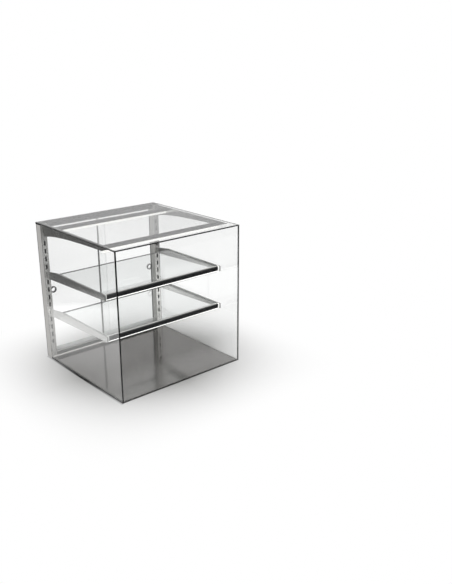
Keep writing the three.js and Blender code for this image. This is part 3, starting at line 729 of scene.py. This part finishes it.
def extruded_strip(name, outline, lift_low, lift_high):
    """A closed strip: outline is a list of points at its low end, and each lift is what is
    added to them at one end."""
    mesh = bpy.data.meshes.new(name)
    work = bmesh.new()
    ends = []
    for lift in (lift_low, lift_high):
        ends.append([work.verts.new(Vector(point) + Vector(lift)) for point in outline])
    for index in range(len(outline)):
        after = (index + 1) % len(outline)
        work.faces.new((ends[0][index], ends[0][after], ends[1][after], ends[1][index]))
    work.faces.new(ends[0])
    work.faces.new(list(reversed(ends[1])))
    bmesh.ops.recalc_face_normals(work, faces=work.faces)
    for face in work.faces:
        face.smooth = True
    work.to_mesh(mesh)
    work.free()
    mesh.set_sharp_from_angle(angle=STRIP_SHARP)
    return mesh


def trim_piece(name, mesh, body, finish):
    """A piece of the scene alone, on a body of the frame."""
    mesh.materials.append(finish)
    piece = bpy.data.objects.new(name, mesh)
    scene.collection.objects.link(piece)
    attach(piece, body)


BEAD_FOOT = 0.0006
TRAY_FLOOR = 0.0040
BEAD_CLIMB = 0.0024
BEAD_GAP = 0.0001
CORNER_WIDTH = 0.0013
CORNER_CROWN = 0.0006
CORNER_TOP = 0.5945


def build_beads():
    """A fillet along the foot of each pane, inside, and one up each front corner."""
    tray_low, tray_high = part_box("base_tray")
    front_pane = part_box("glass_front")
    left_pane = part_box("glass_left")
    inner_x = left_pane[1][0]
    inner_y = front_pane[1][1]
    bead = bead_finish("sealant_bead", (0.014, 0.014, 0.014), (0.5, 0.5, 0.49))
    near_x, near_y = inner_x + BEAD_GAP, inner_y + BEAD_GAP
    top = TRAY_FLOOR + BEAD_CLIMB
    for name, side in (("left", 1.0), ("right", -1.0)):
        outline = [
            (side * near_x, 0, BEAD_FOOT),
            (side * near_x, 0, top),
            (side * (inner_x + 0.0012), 0, TRAY_FLOOR + 0.0012),
            (side * (inner_x + 0.0028), 0, TRAY_FLOOR + 0.0004),
            (side * (tray_low[0] - BEAD_GAP), 0, TRAY_FLOOR + 0.0002),
            (side * (tray_low[0] - BEAD_GAP), 0, BEAD_FOOT),
        ]
        mesh = extruded_strip(
            f"base_bead_{name}", outline, (0, near_y, 0), (0, tray_high[1] - 0.001, 0)
        )
        trim_piece(f"base_bead_{name}", mesh, "case", bead)
        corner = [
            (side * near_x, near_y, 0),
            (side * (inner_x + CORNER_WIDTH), near_y, 0),
            (side * (inner_x + CORNER_CROWN), inner_y + CORNER_CROWN, 0),
            (side * near_x, inner_y + CORNER_WIDTH, 0),
        ]
        mesh = extruded_strip(
            f"corner_bead_{name}", corner, (0, 0, top + BEAD_GAP), (0, 0, CORNER_TOP)
        )
        trim_piece(f"corner_bead_{name}", mesh, "case", bead)
    outline = [
        (0, near_y, BEAD_FOOT),
        (0, near_y, top),
        (0, inner_y + 0.0008, TRAY_FLOOR + 0.0010),
        (0, tray_low[1] - BEAD_GAP, TRAY_FLOOR + 0.0002),
        (0, tray_low[1] - BEAD_GAP, BEAD_FOOT),
    ]
    reach = tray_high[0]
    mesh = extruded_strip("base_bead_front", outline, (-reach, 0, 0), (reach, 0, 0))
    trim_piece("base_bead_front", mesh, "case", bead)


build_beads()


# Screws at the back, made by Geometry Nodes and kept as a plain mesh
SCREW_SHARP = radians(30)
SCREW_PLACES = (-0.250, -0.150, 0.110, 0.250)
SCREW_DROP = 0.003
SCREW_STAND_OFF = 0.0007
FACING_BACK = (radians(-90), 0.0, 0.0)


def geometry_tree(name, inputs):
    """A node tree that makes a mesh. Gives the tree, its start and end, and the identifier
    of each named input."""
    tree = bpy.data.node_groups.new(name, "GeometryNodeTree")
    tree.interface.new_socket("Geometry", in_out="INPUT", socket_type="NodeSocketGeometry")
    identifiers = {}
    for socket_name, kind, value in inputs:
        socket = tree.interface.new_socket(socket_name, in_out="INPUT", socket_type=kind)
        if value is not None:
            socket.default_value = value
        identifiers[socket_name] = socket.identifier
    tree.interface.new_socket("Geometry", in_out="OUTPUT", socket_type="NodeSocketGeometry")
    start, end = tree.nodes.new("NodeGroupInput"), tree.nodes.new("NodeGroupOutput")
    return tree, start, end, identifiers


def build_screw_tree():
    """Pan heads with a cross recess, one on each point of the seed, turned by Turn."""
    tree, start, end, identifiers = geometry_tree(
        "pan_head_screws",
        [
            ("Head radius", "NodeSocketFloat", 0.003),
            ("Head height", "NodeSocketFloat", 0.0013),
            ("Recess width", "NodeSocketFloat", 0.0008),
            ("Turn", "NodeSocketVector", (0.0, 0.0, 0.0)),
            ("Material", "NodeSocketMaterial", None),
        ],
    )
    radius = start.outputs["Head radius"]
    height = start.outputs["Head height"]
    width = start.outputs["Recess width"]
    head = add_node(
        tree,
        "GeometryNodeMeshCone",
        {
            "Vertices": 24,
            "Radius Top": math_node(tree, "MULTIPLY", radius, 0.74),
            "Radius Bottom": radius,
            "Depth": height,
        },
    ).outputs["Mesh"]
    reach = math_node(tree, "MULTIPLY", radius, 1.05)
    deep = math_node(tree, "MULTIPLY", height, 1.1)
    recess = []
    for long_side, short_side in ((reach, width), (width, reach)):
        size = add_node(tree, "ShaderNodeCombineXYZ", {"X": long_side, "Y": short_side, "Z": deep})
        block = add_node(tree, "GeometryNodeMeshCube", {"Size": size.outputs[0]}).outputs["Mesh"]
        lift = add_node(tree, "ShaderNodeCombineXYZ", {"Z": height}).outputs[0]
        moved = add_node(
            tree, "GeometryNodeTransform", {"Geometry": block, "Translation": lift}
        )
        recess.append(moved.outputs["Geometry"])
    for block in recess:
        cutter = add_node(
            tree, "GeometryNodeMeshBoolean", {"Mesh 1": head, "Mesh 2": block},
            operation="DIFFERENCE",
        )
        head = cutter.outputs["Mesh"]
    placed = add_node(
        tree,
        "GeometryNodeInstanceOnPoints",
        {"Points": start.outputs["Geometry"], "Instance": head, "Rotation": start.outputs["Turn"]},
    )
    real = add_node(
        tree, "GeometryNodeRealizeInstances", {"Geometry": placed.outputs["Instances"]}
    )
    look = add_node(
        tree,
        "GeometryNodeSetMaterial",
        {"Geometry": real.outputs["Geometry"], "Material": start.outputs["Material"]},
    )
    join(tree, look.outputs["Geometry"], end.inputs["Geometry"])
    return tree, identifiers


def build_screws(name, points, turn, body):
    tree, identifiers = build_screw_tree()
    seed = bpy.data.meshes.new(f"{name}_seed")
    seed.from_pydata(points, [], [])
    source = bpy.data.objects.new(f"{name}_source", seed)
    scene.collection.objects.link(source)
    maker = source.modifiers.new("screw heads", "NODES")
    maker.node_group = tree
    maker[identifiers["Turn"]] = turn
    maker[identifiers["Material"]] = finishes["screw_steel"]
    view = bpy.context.evaluated_depsgraph_get()
    mesh = bpy.data.meshes.new_from_object(source.evaluated_get(view), depsgraph=view)
    bpy.data.objects.remove(source)
    mesh.set_sharp_from_angle(angle=SCREW_SHARP)
    piece = bpy.data.objects.new(name, mesh)
    scene.collection.objects.link(piece)
    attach(piece, body)


def build_sill_screws():
    low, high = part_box("rear_sill")
    level = (low[2] + high[2]) / 2 - SCREW_DROP
    face = high[1] + SCREW_STAND_OFF
    points = [(x, face, level) for x in SCREW_PLACES]
    build_screws("sill_screws", points, FACING_BACK, "case")


build_sill_screws()


# Stage
def reflected_or_seen(tree, seen, mirrored):
    """Picks what the camera sees, directly or through glass, from what metal mirrors."""
    path = tree.nodes.new("ShaderNodeLightPath")
    after_mirror = math_node(tree, "GREATER_THAN", path.outputs["Glossy Depth"], 0.5)
    return choose_shader(tree, after_mirror, seen, mirrored)


def choose_shader(tree, amount, first, second):
    """The first shader at 0, the second at 1."""
    chosen = add_node(tree, "ShaderNodeMixShader")
    join(tree, amount, chosen.inputs[0])
    join(tree, first, chosen.inputs[1])
    join(tree, second, chosen.inputs[2])
    return chosen.outputs[0]


def near_span(tree, coordinate):
    """Painted floor shadow along one axis: 1 within the case's footprint, less its edges,
    and 0 past the reach of the shadow."""
    distance = math_node(tree, "ABSOLUTE", coordinate)
    return ramp_between(
        tree, distance, HALF_WIDTH - SHADE_REACH, HALF_WIDTH + SHADE_REACH, 1.0, 0.0
    )


def contact_shade(tree, parts):
    """Mask of a painted contact shadow: 1 in a narrow strip along the left side of the case,
    where it meets the floor.
    """
    right_of_start = ramp_between(
        tree, parts.outputs["X"], -HALF_WIDTH - CONTACT_REACH, -HALF_WIDTH - CONTACT_REACH / 2
    )
    left_of_end = ramp_between(
        tree, parts.outputs["X"], -HALF_WIDTH, -HALF_WIDTH + CONTACT_REACH, 1.0, 0.0
    )
    across = math_node(tree, "MULTIPLY", right_of_start, left_of_end)
    ahead_of_rear = ramp_between(
        tree, parts.outputs["Y"], HALF_DEPTH - CONTACT_REACH, HALF_DEPTH, 1.0, 0.0
    )
    behind_front = ramp_between(
        tree, parts.outputs["Y"], -HALF_DEPTH - CONTACT_REACH, -HALF_DEPTH
    )
    along = math_node(tree, "MULTIPLY", ahead_of_rear, behind_front)
    return math_node(tree, "MULTIPLY", across, along)


def build_floor():
    """Pale studio floor: grey paper within a painted shadow round the case, which also keeps
    the case's real shadow, turning white further off.
    """
    mesh = bpy.data.meshes.new("floor")
    reach = FLOOR_REACH
    mesh.from_pydata(
        [(-reach, -reach, 0), (reach, -reach, 0), (reach, reach, 0), (-reach, reach, 0)],
        [],
        [(0, 1, 2, 3)],
    )
    material, tree, output, place = new_material("floor_paper")
    parts = add_node(tree, "ShaderNodeSeparateXYZ", {"Vector": place.outputs["Object"]})
    # Painted shadow: grey paper within the case's blurred footprint, white emission further off
    painted_floor_shadow = math_node(
        tree, "MULTIPLY", near_span(tree, parts.outputs["X"]), near_span(tree, parts.outputs["Y"])
    )
    painted_floor_shadow = math_node(tree, "MULTIPLY", painted_floor_shadow, SHADE_GAIN, clamp=True)
    distance = vector_node(tree, "LENGTH", place.outputs["Object"], output="Value")
    far = ramp_between(tree, distance, POOL_EDGE, POOL_END)
    ahead = ramp_between(tree, parts.outputs["Y"], FRONT_DIM, FRONT_POOL, 1.0, 0.0)
    beside = ramp_between(tree, parts.outputs["X"], LEFT_BRIGHT, LEFT_POOL)
    # Painted contact shadow: the paper turns near-black in the strip at the left side
    paper_tone = blend_colors(tree, contact_shade(tree, parts), FLOOR_TONE, CONTACT_SHADOW_TONE)
    paper = add_node(tree, "ShaderNodeBsdfDiffuse", {"Color": paper_tone}).outputs[0]
    path = tree.nodes.new("ShaderNodeLightPath")
    strength = math_node(
        tree, "MULTIPLY_ADD", path.outputs["Is Transmission Ray"], SEEN_THROUGH, 1.0
    )
    white = add_node(
        tree, "ShaderNodeEmission", {"Color": (1, 1, 1, 1), "Strength": strength}
    ).outputs[0]
    room = blend_colors(tree, beside, ROOM_LEFT, ROOM_DARK)
    dim = add_node(tree, "ShaderNodeEmission", {"Color": room, "Strength": 1.0}).outputs[0]
    far = math_node(tree, "MAXIMUM", far, math_node(tree, "MULTIPLY", ahead, beside))
    seen = choose_shader(tree, painted_floor_shadow, white, paper)
    shown = reflected_or_seen(tree, seen, choose_shader(tree, far, seen, dim))
    light_ray = math_node(
        tree, "MAXIMUM", path.outputs["Is Diffuse Ray"], path.outputs["Is Shadow Ray"]
    )
    not_light = math_node(tree, "SUBTRACT", 1.0, light_ray)
    lit = choose_shader(tree, not_light, paper, shown)
    join(tree, lit, output.inputs["Surface"])
    mesh.materials.append(material)
    floor = bpy.data.objects.new("floor", mesh)
    scene.collection.objects.link(floor)


def build_world():
    """White background, and a pale room for the light and for what metal mirrors."""
    world = bpy.data.worlds.new("studio")
    scene.world = world
    world.use_nodes = True
    tree = world.node_tree
    tree.nodes.clear()
    output = tree.nodes.new("ShaderNodeOutputWorld")
    place = tree.nodes.new("ShaderNodeTexCoord")
    side = vector_node(
        tree, "DOT_PRODUCT", place.outputs["Generated"], WALL_SIDE, output="Value"
    )
    room_tone = ramp_between(tree, side, -0.1, 0.6, WALL_DIM, WALL_BRIGHT)
    room = add_node(
        tree, "ShaderNodeBackground", {"Color": (1, 1, 1, 1), "Strength": room_tone}
    ).outputs[0]
    ambient = add_node(
        tree, "ShaderNodeBackground", {"Color": (*LAMP_COLOR, 1), "Strength": AMBIENT}
    ).outputs[0]
    backdrop = add_node(
        tree, "ShaderNodeBackground", {"Color": (1, 1, 1, 1), "Strength": 1.0}
    ).outputs[0]
    path = tree.nodes.new("ShaderNodeLightPath")
    seen = reflected_or_seen(tree, backdrop, room)
    light = choose_shader(tree, path.outputs["Is Diffuse Ray"], seen, ambient)
    join(tree, light, output.inputs["Surface"])


def build_softbox(name, place, target, size, power):
    lamp = bpy.data.lights.new(name, "AREA")
    lamp.shape = "RECTANGLE"
    lamp.size, lamp.size_y = size
    lamp.energy = power
    lamp.color = LAMP_COLOR
    box = bpy.data.objects.new(name, lamp)
    box.location = place
    box.rotation_euler = (Vector(target) - Vector(place)).to_track_quat("-Z", "Y").to_euler()
    scene.collection.objects.link(box)


def build_camera():
    lens = bpy.data.cameras.new("camera")
    lens.sensor_fit = "HORIZONTAL"
    lens.sensor_width = SENSOR_WIDTH
    lens.lens = FOCAL_LENGTH
    lens.clip_start = CLIP_START
    lens.clip_end = CLIP_END
    camera = bpy.data.objects.new("camera", lens)
    camera.location = CAMERA_PLACE
    camera.rotation_euler = Vector(CAMERA_LOOK).to_track_quat("-Z", "Y").to_euler()
    scene.collection.objects.link(camera)
    scene.camera = camera


build_floor()
build_world()
build_softbox("key_softbox", KEY_PLACE, KEY_TARGET, KEY_SIZE, KEY_POWER)
build_camera()

scene.view_settings.view_transform = "Standard"
scene.cycles.max_bounces = 32
scene.cycles.transmission_bounces = 32
scene.cycles.glossy_bounces = 8
scene.cycles.transparent_max_bounces = 32
scene.cycles.use_denoising = True
scene.cycles.caustics_reflective = False
scene.cycles.caustics_refractive = False
